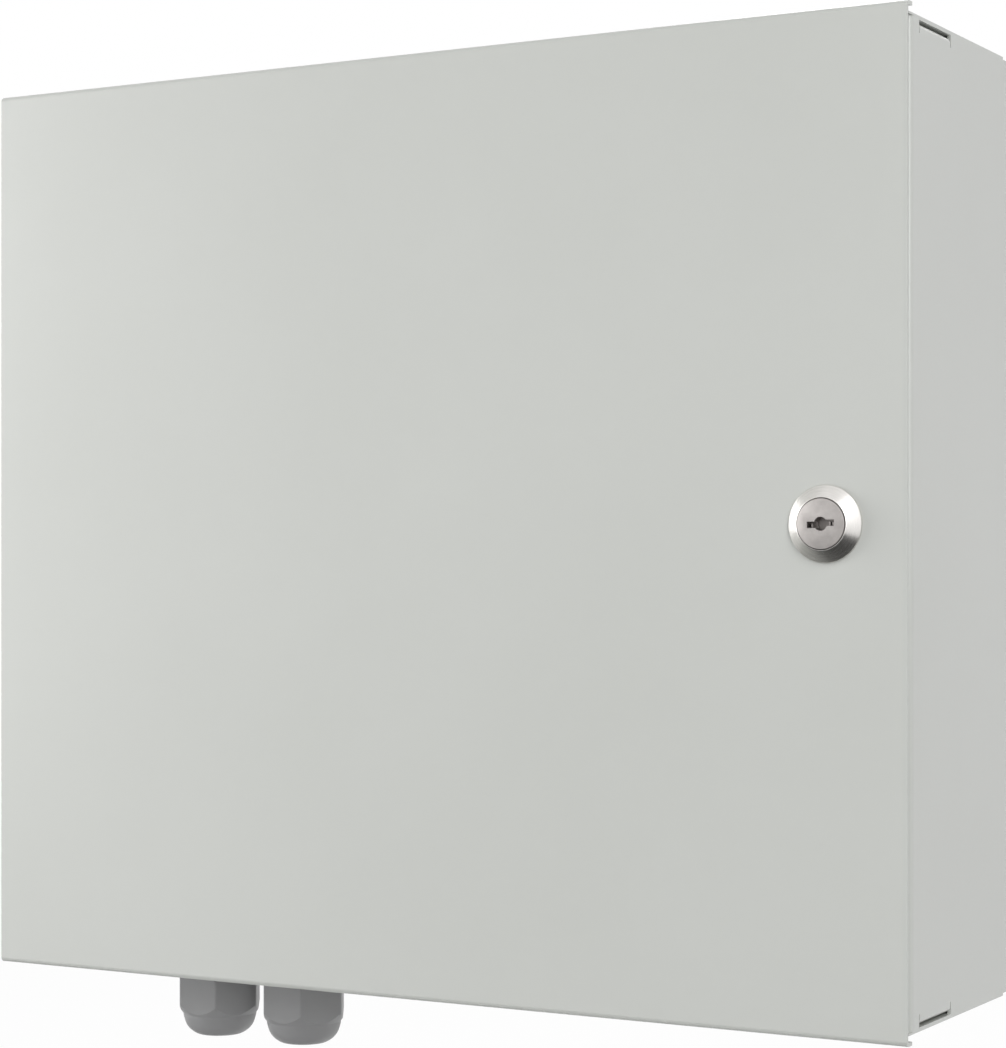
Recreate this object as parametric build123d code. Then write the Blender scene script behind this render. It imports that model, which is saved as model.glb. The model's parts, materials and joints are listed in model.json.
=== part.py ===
from build123d import *

import os
from math import cos, radians, sin, sqrt

# Wall box for optical fibre: a folded steel case with a full-face door, a
# cylinder lock and two cable glands. Lengths are in millimetres.
# The origin is the centre of the four wall holes, on the wall plane.
# +X is to the right, +Z is up, and the door faces -Y.

# Case
case_width = 340.0
case_height = 300.0
box_depth = 90.0
sheet = 1.2
bend_radius = 1.75
panel_gap = 0.4
seal_gap = 2.7
flange_width = 10.5
flange_end_gap = 0.8
strip_end_gap = 0.6
rear_step_length = 5.0
rear_step_width = 6.0
rear_step_height = 0.8
wall_hole_diameter = 6.5
wall_hole_spacing_x = 280.0
wall_hole_spacing_z = 240.0

# Corner tabs of the side walls, bent in behind the top and bottom panels
tab_start = 10.0
tab_length = 27.0
tab_reach = 12.0
tab_slit = 0.75
tick_width = 0.6
tick_height = 3.1

# Door
door_overhang = 3.2
door_lip_depth = 4.4

# Foam strips on the side flanges
foam_width = 7.0
foam_side_inset = 3.0
foam_clearance = 0.3
foam_break = 9.0

# Hinges
hinge_height = 105.0
hinge_places = (hinge_height, -hinge_height)
hinge_from_side = 5.5
hinge_from_skin = 10.5
pin_diameter = 3.0
pin_head_diameter = 5.0
pin_head_height = 0.9
pin_clearance = 0.05
hinge_play = 0.3
arm_sheet = 2.0
arm_width = 6.0
arm_eye_radius = 3.4
arm_reach = 14.5
arm_crank = 8.0
arm_bend_radius = 3.0
arm_plate_width = 20.0
arm_plate_height = 24.0
ear_sheet = 1.5
ear_radius = 3.8
ear_plate_gap = 1.2
bracket_length = 20.0
bracket_reach = 7.0
hinge_notch_margin = 1.5
hinge_notch_depth = 5.8
hinge_corner_cut = 4.0

# Lock
lock_from_edge = 25.5
bezel_diameter = 23.3
bezel_front_diameter = 16.4
bezel_height = 3.9
plug_diameter = 15.6
plug_stand_out = 4.2
plug_clearance = 0.06
plug_head_length = 12.0
plug_shaft_diameter = 11.0
key_width = 8.6
key_slot = 1.9
key_offset = 0.3
key_bore = 4.2
key_depth = 9.0
barrel_diameter = 18.0
barrel_flats = 16.0
barrel_length = 18.0
barrel_hole_clearance = 0.1
lock_nut_flats = 22.0
lock_nut_height = 4.0
cam_square = 7.5
cam_sheet = 3.0
cam_width = 15.0
cam_crank_start = 13.9
cam_reach = 21.0
cam_clearance = 1.8
cam_end_play = 0.2
cam_screw_diameter = 5.0
cam_screw_length = 8.0
cam_screw_flats = 11.0
cam_screw_head = 4.0

# Cable glands
gland_from_left = 84.2
gland_spacing = 35.8
gland_from_front = 40.0
gland_thread_diameter = 22.4
gland_hole_clearance = 0.2
gland_thread_length = 11.0
gland_flats = 27.0
gland_collar_height = 7.6
gland_nut_gap = 0.4
gland_skirt = 12.1
gland_skirt_end = 17.6
gland_hex_end = 22.9
gland_drop = 29.0
gland_bore_diameter = 15.0
gland_cap_flats = 24
gland_cap_chamfers = ((1.48, 5.5), (2.0, 2.85))
gland_insert_flats = 12
gland_insert_bore = 12.0
gland_insert_inset = 2.0
gland_lock_nut_flats = 30.0
gland_lock_nut_height = 5.5
gland_lock_nut_turn = 30.0

# Studs on the back wall, each with its cap nut
stud_diameter = 4.0
stud_nut_flats = 7.0
stud_nut_height = 3.2
stud_hole_clearance = 0.3

# Splice tray
tray_width = 200.0
tray_height = 104.0
tray_depth = 12.0
tray_wall = 1.8
tray_corner = 14.0
tray_x = -24.0
tray_z = 56.0
tray_standoff = 20.0
tray_stud_inset = 12.0
spacer_flats = 8.0
cover_sheet = 1.5
cover_rim = 2.0
cover_fit = 0.3
cover_notch = 16.0
spool_radius = 30.0
spool_height = 8.0
spool_wall = 1.6
spool_gap_angle = 50.0
comb_count = 12
comb_pitch = 4.6
comb_length = 30.0
comb_base = 1.5
comb_height = 5.0
comb_rib = 1.2
tray_port_width = 10.0

# Patch plate with its adapters
plate_sheet = 1.5
plate_z = -58.0
plate_depth = 62.0
plate_centre_x = 58.0
plate_margin = 14.0
plate_front_lip = 9.0
plate_back_leg = 18.0
plate_stud_inset = 9.0
adapter_count = 12
adapter_pitch = 12.7
adapter_width = 9.2
adapter_depth = 13.0
adapter_height = 34.0
adapter_flange_depth = 22.0
adapter_flange_height = 2.4
adapter_window_gap = 0.2
adapter_from_back = 34.0
socket_width = 6.6
socket_depth = 9.4
socket_length = 7.0
cap_fit = 0.1
cap_wall = 0.9
cap_height = 6.0

# Cable bracket above the glands
tie_from_bottom = 46.0
tie_width = 84.0
tie_height = 20.0
tie_stand_out = 44.0
tie_foot = 16.0
tie_slot_count = 4
tie_slot_pitch = 12.0
tie_slot_width = 4.0
tie_slot_length = 10.0

# Slack guides on the back wall
guide_gap = 8.0
guide_drop = 66.0
guide_width = 24.0
guide_length = 12.0
guide_height = 16.0
guide_wall = 2.0
guide_mouth = 7.0
guide_corner = 4.0

# Earth stud
earth_from_side = 42.0
earth_from_bottom = 32.0
earth_diameter = 6.0
earth_length = 20.0
earth_nut_flats = 10.0
earth_nut_height = 5.0

# Places worked out from the sizes above
half_width = case_width / 2
half_height = case_height / 2
inner_x = half_width - sheet
inner_z = half_height - sheet
door_front_y = -box_depth
skin_back_y = door_front_y + sheet
panel_front_y = skin_back_y + panel_gap
flange_front_y = skin_back_y + seal_gap
flange_back_y = flange_front_y + sheet
back_wall_y = -sheet
bend_inner = bend_radius - sheet
flange_tip_x = half_width - flange_width
foam_front_y = skin_back_y + foam_clearance
foam_outer_x = half_width - foam_side_inset
hinge_x = -half_width + hinge_from_side
hinge_y = skin_back_y + hinge_from_skin
lock_x = half_width - lock_from_edge
barrel_end_y = door_front_y + barrel_length
gland_y = door_front_y + gland_from_front
gland_centre_x = -half_width + gland_from_left
gland_places = {"left": gland_centre_x - gland_spacing / 2, "right": gland_centre_x + gland_spacing / 2}
tray_floor_y = back_wall_y - tray_standoff
tray_stud_x = tray_width / 2 - tray_stud_inset
plate_width = adapter_count * adapter_pitch + 2 * plate_margin
adapter_y = back_wall_y - adapter_from_back
gland_row_y = back_wall_y - tie_stand_out
tie_z = -half_height + tie_from_bottom
guide_reach = tray_width / 2 + guide_gap + guide_width / 2
guide_places = [
    (tray_x - guide_reach, tray_z),
    (tray_x + guide_reach, tray_z),
    (tray_x - guide_reach, plate_z),
    (plate_centre_x, plate_z - guide_drop),
]
earth_x = half_width - earth_from_side
earth_z = -half_height + earth_from_bottom


def block(x0, x1, y0, y1, z0, z1):
    """Rectangular block between two corners."""
    size = Box(abs(x1 - x0), abs(y1 - y0), abs(z1 - z0))
    return Pos((x0 + x1) / 2, (y0 + y1) / 2, (z0 + z1) / 2) * size


def upright(x, y, z0, z1, diameter):
    """Round bar with its axis along Z."""
    return Pos(x, y, (z0 + z1) / 2) * Cylinder(diameter / 2, abs(z1 - z0))


def level(x, z, y0, y1, diameter):
    """Round bar with its axis along Y."""
    bar = Cylinder(diameter / 2, abs(y1 - y0), rotation=(90, 0, 0))
    return Pos(x, (y0 + y1) / 2, z) * bar


def hex_level(x, z, y0, y1, flats):
    """Hexagonal prism with its axis along Y."""
    outline = RegularPolygon(flats / 2, 6, major_radius=False)
    prism = extrude(outline, abs(y1 - y0) / 2, both=True)
    return Pos(x, (y0 + y1) / 2, z) * Rot(90, 0, 0) * prism


def hex_upright(x, y, z0, z1, flats, turn=0.0):
    """Hexagonal prism with its axis along Z."""
    outline = RegularPolygon(flats / 2, 6, major_radius=False, rotation=turn)
    prism = extrude(outline, abs(z1 - z0) / 2, both=True)
    return Pos(x, y, (z0 + z1) / 2) * prism


def front_plate(x, z, y0, y1, width, height, corner):
    """Plate parallel to the door, with rounded corners."""
    outline = RectangleRounded(width, height, corner)
    plate = extrude(outline, abs(y1 - y0) / 2, both=True)
    return Pos(x, (y0 + y1) / 2, z) * Rot(90, 0, 0) * plate


def bent_strip(corner_x, corner_y, tip_x, wall_end_y, side):
    """Outline of a wall that turns through a bend into its front flange."""
    centre_x = corner_x - side * bend_radius
    centre_y = corner_y + bend_radius
    slant = bend_radius * (1 - sqrt(0.5))
    inner_slant = sheet + bend_inner * (1 - sqrt(0.5))
    with BuildLine() as line:
        Line((tip_x, corner_y), (centre_x, corner_y))
        ThreePointArc(
            (centre_x, corner_y),
            (corner_x - side * slant, corner_y + slant),
            (corner_x, centre_y),
        )
        Line((corner_x, centre_y), (corner_x, wall_end_y))
        Line((corner_x, wall_end_y), (corner_x - side * sheet, wall_end_y))
        Line((corner_x - side * sheet, wall_end_y), (corner_x - side * sheet, centre_y))
        ThreePointArc(
            (corner_x - side * sheet, centre_y),
            (corner_x - side * inner_slant, corner_y + inner_slant),
            (centre_x, corner_y + sheet),
        )
        Line((centre_x, corner_y + sheet), (tip_x, corner_y + sheet))
        Line((tip_x, corner_y + sheet), (tip_x, corner_y))
    return make_face(line.line)


def side_flange(side):
    """Front edge of a side wall, bent inwards behind the door."""
    outline = bent_strip(side * half_width, flange_front_y, side * flange_tip_x, flange_back_y + bend_radius, side)
    strip = extrude(outline, half_height - strip_end_gap, both=True)
    for end in (1, -1):
        gap_z = end * (inner_z - flange_end_gap)
        strip -= block(
            side * (flange_tip_x - 1),
            side * (half_width - bend_radius),
            flange_front_y - 1,
            flange_back_y + 1,
            gap_z,
            end * half_height,
        )
    return strip


def corner_tab(side, end):
    """Tab at a side wall's corner, bent in under the top or bottom panel."""
    top_z = inner_z - tab_slit
    start_y = door_front_y + tab_start + tick_width
    length = tab_length - 2 * tick_width
    outline = bent_strip(half_width, -top_z, half_width - tab_reach, -top_z + tick_height, 1)
    tab = Pos(0, start_y + length, 0) * Rot(90, 0, 0) * extrude(outline, length)
    if end > 0:
        tab = mirror(tab, Plane.XY)
    if side < 0:
        tab = mirror(tab, Plane.YZ)
    return tab


def corner_tab_cut(side, end):
    """Room for the tab: the slit beside the panel and a relief tick at each end."""
    start_y = door_front_y + tab_start
    return block(
        side * (half_width - bend_radius - bend_inner),
        side * (half_width + 1),
        start_y,
        start_y + tab_length,
        end * (inner_z - tab_slit - tick_height),
        end * inner_z,
    )


def rear_step(side, end):
    """Relief at a rear corner, where three bends meet."""
    return block(
        side * (half_width - rear_step_width),
        side * (half_width + 1),
        -rear_step_length,
        1,
        end * (half_height - rear_step_height),
        end * (half_height + 1),
    )


def hinge_corner(end):
    """Front corner of a panel cut off at an angle, so the door can swing."""
    x = -half_width
    y = panel_front_y
    with BuildLine() as line:
        Polyline((x - 1, y - 1), (x + hinge_corner_cut, y - 1), (x + hinge_corner_cut, y), (x, y + hinge_corner_cut), (x - 1, y + hinge_corner_cut), close=True)
    prism = extrude(make_face(line.line), sheet + 1)
    if end > 0:
        return Pos(0, 0, inner_z) * prism
    return Pos(0, 0, -inner_z - sheet - 1) * prism


def housing_body():
    """Folded case: back, sides, top and bottom, with its holes."""
    outer = block(-half_width, half_width, panel_front_y, 0, -half_height, half_height)
    outer = fillet(outer.faces().sort_by(Axis.Y)[-1].edges(), bend_radius)
    inner = block(-inner_x, inner_x, panel_front_y - 1, back_wall_y, -inner_z, inner_z)
    inner = fillet(inner.faces().sort_by(Axis.Y)[-1].edges(), bend_inner)
    case = outer - inner
    strip_z = half_height - strip_end_gap
    for side in (1, -1):
        case -= block(
            side * (half_width - bend_radius),
            side * (half_width + 1),
            panel_front_y - 1,
            flange_back_y + bend_radius,
            -strip_z,
            strip_z,
        )
        case += side_flange(side)
        for end in (1, -1):
            case -= corner_tab_cut(side, end)
            case += corner_tab(side, end)
            case -= rear_step(side, end)
    for end in (1, -1):
        case -= hinge_corner(end)
        notch = arm_sheet / 2 + hinge_notch_margin
        case -= block(
            -flange_tip_x - hinge_notch_depth,
            -flange_tip_x + 1,
            flange_front_y - 1,
            flange_back_y + 1,
            end * hinge_height - notch,
            end * hinge_height + notch,
        )
    for x in (-wall_hole_spacing_x / 2, wall_hole_spacing_x / 2):
        for z in (-wall_hole_spacing_z / 2, wall_hole_spacing_z / 2):
            case -= level(x, z, back_wall_y - 1, 1, wall_hole_diameter)
    for x in gland_places.values():
        hole = gland_thread_diameter + 2 * gland_hole_clearance
        case -= upright(x, gland_y, -half_height - 1, -inner_z + 1, hole)
    return case


def door_panel():
    """Door sheet with its top and bottom edges bent back over the case."""
    top_z = half_height + door_overhang
    lip_y = door_front_y + door_lip_depth
    centre_y = door_front_y + bend_radius
    centre_z = top_z - bend_radius
    slant = bend_radius * sqrt(0.5)
    inner_slant = bend_inner * sqrt(0.5)
    with BuildLine(Plane.YZ) as line:
        for end in (1, -1):
            Line((lip_y, end * top_z), (centre_y, end * top_z))
            ThreePointArc(
                (centre_y, end * top_z),
                (centre_y - slant, end * (centre_z + slant)),
                (door_front_y, end * centre_z),
            )
            Line((lip_y, end * (top_z - sheet)), (centre_y, end * (top_z - sheet)))
            ThreePointArc(
                (centre_y, end * (top_z - sheet)),
                (centre_y - inner_slant, end * (centre_z + inner_slant)),
                (skin_back_y, end * centre_z),
            )
            Line((lip_y, end * top_z), (lip_y, end * (top_z - sheet)))
        Line((door_front_y, centre_z), (door_front_y, -centre_z))
        Line((skin_back_y, centre_z), (skin_back_y, -centre_z))
    panel = extrude(make_face(line.line), half_width, both=True)
    hole = barrel_outline(barrel_hole_clearance, door_front_y - 1, skin_back_y + 1)
    return panel - hole


def barrel_outline(clearance, y0, y1):
    """Round lock barrel with a flat on each side, or the hole that it fits."""
    bar = level(lock_x, 0, y0, y1, barrel_diameter + 2 * clearance)
    half_flats = barrel_flats / 2 + clearance
    return bar & block(lock_x - barrel_diameter, lock_x + barrel_diameter, y0, y1, -half_flats, half_flats)


def foam_strips():
    """Foam on the side flanges, parted at the hinge arms."""
    inner_foam_x = foam_outer_x - foam_width
    end_z = inner_z - flange_end_gap
    strips = block(inner_foam_x, foam_outer_x, foam_front_y, flange_front_y, -end_z, end_z)
    left = block(-inner_foam_x, -foam_outer_x, foam_front_y, flange_front_y, -end_z, end_z)
    for end in (1, -1):
        low_z = end * hinge_height - foam_break / 2
        high_z = end * hinge_height + foam_break / 2
        left -= block(-half_width, -inner_foam_x + 1, foam_front_y - 1, flange_front_y, low_z, high_z)
    return Compound(children=list(strips.solids()) + list(left.solids()))


def hinge_bracket(z):
    """Bracket on the left wall: a plate with two bent ears and the pin riveted in them."""
    ear_z = arm_sheet / 2 + hinge_play
    wall_x = -inner_x
    plate_front_y = hinge_y + arm_eye_radius + ear_plate_gap
    plate_back_y = plate_front_y + bracket_length
    reach_x = hinge_x + ear_radius
    bracket = block(wall_x, wall_x + ear_sheet, plate_front_y, plate_back_y, z - ear_z, z + ear_z)
    for end in (1, -1):
        low_z = z + end * ear_z
        high_z = z + end * (ear_z + ear_sheet)
        ear = block(wall_x, reach_x, hinge_y, plate_back_y - bracket_reach, low_z, high_z)
        ear += upright(hinge_x, hinge_y, low_z, high_z, 2 * ear_radius)
        ear += block(wall_x, wall_x + ear_sheet, plate_front_y, plate_back_y, low_z, high_z)
        bracket += ear
    top_z = z + ear_z + ear_sheet
    bracket += upright(hinge_x, hinge_y, z - ear_z, z + ear_z, pin_diameter)
    return bracket + upright(hinge_x, hinge_y, top_z, top_z + pin_head_height, pin_head_diameter)


def hinge_arm(z):
    """Cranked arm that reaches from the door, round the flange, to the pin."""
    root_x = hinge_x + arm_reach
    points = [
        (hinge_x, hinge_y),
        (hinge_x + arm_crank, hinge_y + arm_crank),
        (root_x, hinge_y + 1),
        (root_x, skin_back_y),
    ]
    path = FilletPolyline(*points, radius=arm_bend_radius)
    outline = make_face(path.wire().offset_2d(arm_width / 2, side=Side.BOTH))
    arm = Pos(0, 0, z) * extrude(outline, arm_sheet / 2, both=True)
    arm += upright(hinge_x, hinge_y, z - arm_sheet / 2, z + arm_sheet / 2, 2 * arm_eye_radius)
    plate_x = root_x - arm_width / 2
    arm += block(
        plate_x,
        plate_x + arm_plate_width,
        skin_back_y,
        skin_back_y + arm_sheet,
        z - arm_sheet / 2,
        z - arm_sheet / 2 + arm_plate_height,
    )
    arm -= block(hinge_x, root_x + arm_plate_width, skin_back_y - arm_width, skin_back_y, z - arm_sheet, z + arm_sheet)
    bore = pin_diameter + 2 * pin_clearance
    return arm - upright(hinge_x, hinge_y, z - arm_sheet, z + arm_sheet, bore)


def pair(make):
    """The same piece at the upper and the lower hinge."""
    solids = []
    for z in hinge_places:
        solids += make(z).solids()
    return Compound(children=solids)


def revolved_level(x, z, points):
    """Solid turned about an axis along Y, from (y, radius) points."""
    with BuildLine() as line:
        Polyline(*[(radius, y) for y, radius in points], close=True)
    turned = revolve(make_face(line.line), Axis.Y)
    return Pos(x, 0, z) * turned


def lock_housing():
    """Lock body: cone-shaped bezel and threaded barrel with two flats."""
    front_y = door_front_y - bezel_height
    bezel = revolved_level(
        lock_x,
        0,
        [
            (door_front_y, 0),
            (door_front_y, bezel_diameter / 2),
            (front_y, bezel_front_diameter / 2),
            (front_y, 0),
        ],
    )
    body = bezel + barrel_outline(0, door_front_y, barrel_end_y)
    head_end_y = door_front_y - plug_stand_out + plug_head_length
    body -= level(lock_x, 0, front_y - 1, head_end_y + plug_clearance, plug_diameter + 2 * plug_clearance)
    return body - level(lock_x, 0, front_y, barrel_end_y + 1, plug_shaft_diameter + 2 * plug_clearance)


def lock_plug():
    """Turning plug with its keyway, shaft and square end."""
    front_y = door_front_y - plug_stand_out
    head_end_y = front_y + plug_head_length
    seat_y = barrel_end_y + cam_end_play
    head = level(lock_x, 0, front_y, head_end_y, plug_diameter)
    plug = head + level(lock_x, 0, head_end_y, seat_y, plug_shaft_diameter)
    half_square = cam_square / 2
    plug += block(lock_x - half_square, lock_x + half_square, seat_y, seat_y + cam_sheet, -half_square, half_square)
    half_slot = key_slot / 2
    key_end_y = front_y + key_depth
    for side in (1, -1):
        centre_z = side * key_offset
        plug -= block(lock_x, lock_x + side * key_width / 2, front_y - 1, key_end_y, centre_z - half_slot, centre_z + half_slot)
    plug -= level(lock_x, 0, front_y - 1, key_end_y, key_bore)
    end_y = seat_y + cam_sheet
    return plug - level(lock_x, 0, end_y - cam_screw_length, end_y, cam_screw_diameter)


def lock_nut():
    """Thin hexagon nut that holds the lock."""
    end_y = skin_back_y + lock_nut_height
    nut = hex_level(lock_x, 0, skin_back_y, end_y, lock_nut_flats)
    return nut - level(lock_x, 0, skin_back_y - 1, end_y + 1, barrel_diameter)


def lock_cam():
    """Flat tongue cranked towards the door, pointing down when unlocked."""
    base_y = barrel_end_y + cam_end_play
    tip_y = flange_back_y + cam_clearance
    half = cam_width / 2
    cam = block(lock_x - half, lock_x + half, base_y, base_y + cam_sheet, -cam_crank_start, 0)
    cam += level(lock_x, 0, base_y, base_y + cam_sheet, cam_width)
    cam += block(lock_x - half, lock_x + half, tip_y, base_y + cam_sheet, -cam_crank_start - cam_sheet, -cam_crank_start)
    cam += block(lock_x - half, lock_x + half, tip_y, tip_y + cam_sheet, -cam_reach, -cam_crank_start)
    corner = block(lock_x - half, lock_x + half, tip_y - 1, base_y + cam_sheet + 1, -cam_reach, cam_width)
    tips = corner.edges().filter_by(Axis.Y).group_by(Axis.Z)[0]
    cam = cam & fillet(tips, cam_sheet)
    half_square = cam_square / 2
    return cam - block(lock_x - half_square, lock_x + half_square, base_y - 1, base_y + cam_sheet + 1, -half_square, half_square)


def cam_screw():
    """Hexagon screw that holds the cam on the plug."""
    seat_y = barrel_end_y + cam_end_play + cam_sheet
    shank = level(lock_x, 0, seat_y - cam_screw_length, seat_y, cam_screw_diameter)
    return shank + hex_level(lock_x, 0, seat_y, seat_y + cam_screw_head, cam_screw_flats)


def gland_bodies():
    """Gland bodies: a thread through the case and a hexagon collar, with the cable's bore."""
    bodies = []
    for x in gland_places.values():
        collar_z = -half_height - gland_collar_height
        thread_z = -inner_z + gland_thread_length
        body = hex_upright(x, gland_y, collar_z, -half_height, gland_flats)
        body += upright(x, gland_y, -half_height, thread_z, gland_thread_diameter)
        body -= upright(x, gland_y, collar_z - 1, thread_z + 1, gland_bore_diameter)
        bodies += body.solids()
    return Compound(children=bodies)


def gland_inserts():
    """Rubber inserts that grip the cables, with clamping fingers all round."""
    inserts = []
    low_z = -half_height - gland_skirt_end
    high_z = -half_height - gland_insert_inset
    for x in gland_places.values():
        outline = Pos(x, gland_y, low_z) * RegularPolygon(gland_bore_diameter / 2, gland_insert_flats)
        insert = extrude(outline, high_z - low_z)
        insert -= upright(x, gland_y, low_z - 1, high_z + 1, gland_insert_bore)
        inserts += insert.solids()
    return Compound(children=inserts)


def gland_dome_nuts():
    """Dome nuts: a hexagon whose lower corners run out into a rounded cap."""
    top_z = -half_height - gland_collar_height - gland_nut_gap
    hex_z = -half_height - gland_hex_end
    low_z = -half_height - gland_drop
    corner_radius = gland_flats / 2 / cos(radians(30))
    crown = Pos(0, 0, hex_z) * extrude(RegularPolygon(corner_radius, gland_cap_flats), top_z - hex_z)
    rim = crown.faces().sort_by(Axis.Z)[0]
    crown = chamfer(rim.edges(), corner_radius - gland_skirt, gland_hex_end - gland_skirt_end, reference=rim)
    crown = crown & hex_upright(0, 0, hex_z, top_z, gland_flats)
    cap = Pos(0, 0, low_z) * extrude(RegularPolygon(gland_skirt, gland_cap_flats), top_z - low_z)
    for inwards, upwards in gland_cap_chamfers:
        floor = cap.faces().sort_by(Axis.Z)[0]
        cap = chamfer(floor.edges(), inwards, upwards, reference=floor)
    nut = crown + cap
    nut -= upright(0, 0, low_z - 1, top_z + 1, gland_bore_diameter)
    return Compound(children=[(Pos(x, gland_y, 0) * nut).solid() for x in gland_places.values()])


def gland_lock_nuts():
    """Hexagon nuts on the glands' threads, inside the case."""
    nuts = []
    for x in gland_places.values():
        high_z = -inner_z + gland_lock_nut_height
        nut = hex_upright(x, gland_y, -inner_z, high_z, gland_lock_nut_flats, gland_lock_nut_turn)
        nut -= upright(x, gland_y, -inner_z - 1, high_z + 1, gland_thread_diameter)
        nuts += nut.solids()
    return Compound(children=nuts)


tray_studs = [(tray_x - tray_stud_x, tray_z), (tray_x + tray_stud_x, tray_z)]
plate_stud_x = plate_width / 2 - plate_stud_inset
plate_stud_z = plate_z - plate_sheet - plate_back_leg / 2
plate_studs = [(plate_centre_x - plate_stud_x, plate_stud_z), (plate_centre_x + plate_stud_x, plate_stud_z)]
tie_stud_x = tie_width / 2 - tie_foot / 2
tie_studs = [(gland_centre_x - tie_stud_x, tie_z), (gland_centre_x + tie_stud_x, tie_z)]
seats = (
    [(place, tray_floor_y - tray_wall) for place in tray_studs]
    + [(place, back_wall_y - plate_sheet) for place in plate_studs]
    + [(place, back_wall_y - plate_sheet) for place in tie_studs]
)


def wall_studs():
    """Studs welded to the back wall, each one solid with the cap nut on it."""
    studs = []
    for (x, z), seat_y in seats:
        stud = level(x, z, seat_y, back_wall_y, stud_diameter)
        stud += hex_level(x, z, seat_y - stud_nut_height, seat_y, stud_nut_flats)
        studs += stud.solids()
    return Compound(children=studs)


def tray_spacers():
    """Hexagon spacers that hold the tray off the back wall."""
    spacers = []
    for x, z in tray_studs:
        spacer = hex_level(x, z, tray_floor_y, back_wall_y, spacer_flats)
        spacer -= level(x, z, tray_floor_y - 1, back_wall_y + 1, stud_diameter + 2 * stud_hole_clearance)
        spacers += spacer.solids()
    return Compound(children=spacers)


def splice_tray():
    """Moulded tray with a wall all round, two spools and cable ports."""
    front_y = tray_floor_y - tray_depth
    floor_y = tray_floor_y - tray_wall
    tray = front_plate(tray_x, tray_z, front_y, tray_floor_y, tray_width, tray_height, tray_corner)
    inner_width = tray_width - 2 * tray_wall
    inner_height = tray_height - 2 * tray_wall
    tray -= front_plate(tray_x, tray_z, front_y - 1, floor_y, inner_width, inner_height, tray_corner - tray_wall)
    for side in (1, -1):
        x = tray_x + side * (comb_length / 2 + spool_radius + 2 * tray_wall)
        ring = level(x, tray_z, floor_y - spool_height, floor_y, 2 * spool_radius)
        ring -= level(x, tray_z, floor_y - spool_height - 1, floor_y, 2 * (spool_radius - spool_wall))
        gap = spool_radius * sin(radians(spool_gap_angle / 2))
        ring -= block(x - spool_radius, x + spool_radius, floor_y - spool_height - 1, floor_y, tray_z - gap, tray_z + gap)
        tray += ring
        port_x = tray_x + side * (tray_width / 2 - tray_corner - tray_port_width)
        tray -= block(
            port_x - tray_port_width / 2,
            port_x + tray_port_width / 2,
            front_y - 1,
            floor_y,
            tray_z - tray_height,
            tray_z - tray_height / 2 + tray_wall + 1,
        )
    for x, z in tray_studs:
        tray -= level(x, z, floor_y - 1, tray_floor_y + 1, stud_diameter + 2 * stud_hole_clearance)
    return tray


def splice_holder():
    """Comb that holds the splice sleeves side by side."""
    floor_y = tray_floor_y - tray_wall
    height = comb_count * comb_pitch + comb_rib
    half = comb_length / 2
    comb = block(tray_x - half, tray_x + half, floor_y - comb_base, floor_y, tray_z - height / 2, tray_z + height / 2)
    for index in range(comb_count + 1):
        z = tray_z - height / 2 + index * comb_pitch
        comb += block(tray_x - half, tray_x + half, floor_y - comb_base - comb_height, floor_y - comb_base, z, z + comb_rib)
    return comb


def tray_cover():
    """Lid clipped on the tray, with ribs inside the wall and two finger notches."""
    seat_y = tray_floor_y - tray_depth
    cover = front_plate(tray_x, tray_z, seat_y - cover_sheet, seat_y, tray_width, tray_height, tray_corner)
    inset = tray_wall + cover_fit
    rib_x = tray_width / 2 - tray_corner
    rib_z = tray_height / 2 - tray_corner
    for end in (1, -1):
        outer_x = tray_x + end * (tray_width / 2 - inset)
        cover += block(outer_x - end * tray_wall, outer_x, seat_y, seat_y + cover_rim, tray_z - rib_z, tray_z + rib_z)
        outer_z = tray_z + end * (tray_height / 2 - inset)
        cover += block(tray_x - rib_x, tray_x + rib_x, seat_y, seat_y + cover_rim, outer_z - end * tray_wall, outer_z)
        notch_z = tray_z + end * tray_height / 2
        cover -= level(tray_x, notch_z, seat_y - cover_sheet - 1, seat_y + cover_rim + 1, cover_notch)
    return cover


def adapter_x(index):
    """Centre of one adapter along the patch plate."""
    return plate_centre_x + (index - (adapter_count - 1) / 2) * adapter_pitch


def patch_plate():
    """Folded shelf with a row of windows, a front lip and a leg on the back wall."""
    front_y = back_wall_y - plate_depth
    half = plate_width / 2
    low_x = plate_centre_x - half
    high_x = plate_centre_x + half
    plate = block(low_x, high_x, front_y, back_wall_y, plate_z - plate_sheet, plate_z)
    plate += block(low_x, high_x, front_y, front_y + plate_sheet, plate_z - plate_front_lip, plate_z)
    leg_z = plate_z - plate_sheet - plate_back_leg
    plate += block(low_x, high_x, back_wall_y - plate_sheet, back_wall_y, leg_z, plate_z)
    bends = plate.edges().filter_by(Axis.X).group_by(Axis.Z)[-1]
    plate = fillet(bends, plate_sheet)
    for index in range(adapter_count):
        x = adapter_x(index)
        half_x = adapter_width / 2 + adapter_window_gap
        half_y = adapter_depth / 2 + adapter_window_gap
        plate -= block(x - half_x, x + half_x, adapter_y - half_y, adapter_y + half_y, plate_z - plate_sheet - 1, plate_z + 1)
    for x, z in plate_studs:
        hole = stud_diameter + 2 * stud_hole_clearance
        plate -= level(x, z, back_wall_y - plate_sheet - 1, back_wall_y + 1, hole)
    return plate


def adapter_sockets(x, end):
    """Middle of one adapter socket and the level of its mouth."""
    mouth_z = plate_z + adapter_flange_height / 2 + end * adapter_height / 2
    return x, adapter_y, mouth_z


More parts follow.
